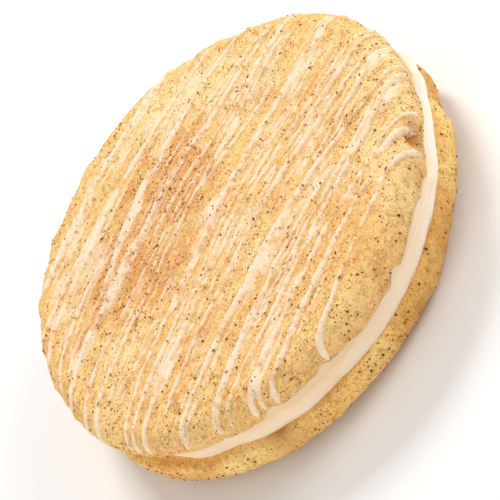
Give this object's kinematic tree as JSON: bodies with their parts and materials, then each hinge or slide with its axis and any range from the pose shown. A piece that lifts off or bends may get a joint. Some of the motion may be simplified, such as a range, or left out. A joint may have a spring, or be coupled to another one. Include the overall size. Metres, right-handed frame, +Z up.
{
  "type": "snickerdoodle sandwich cookie",
  "caption": "Round sandwich cookie: two soft speckled biscuits with a cream filling between them and icing drizzled over the upper one.",
  "frame": {"origin": "under the middle of the cookie, on the surface that it rests on", "axes": "+Z up through the two biscuits; +X along the drizzled icing, towards the end where the cream stands proud"},
  "size_m": [0.0904, 0.0902, 0.0202],
  "materials": {
    "upper_crust": "soft matt golden crust with dark spice specks, under thin soaked-in white icing",
    "cream": "smooth satin cream",
    "lower_crust": "soft matt golden-brown crust with dark spice specks"
  },
  "bodies": {
    "root": {"upper_biscuit": "upper_crust", "cream_filling": "cream", "lower_biscuit": "lower_crust"}
  },
  "joints": []
}
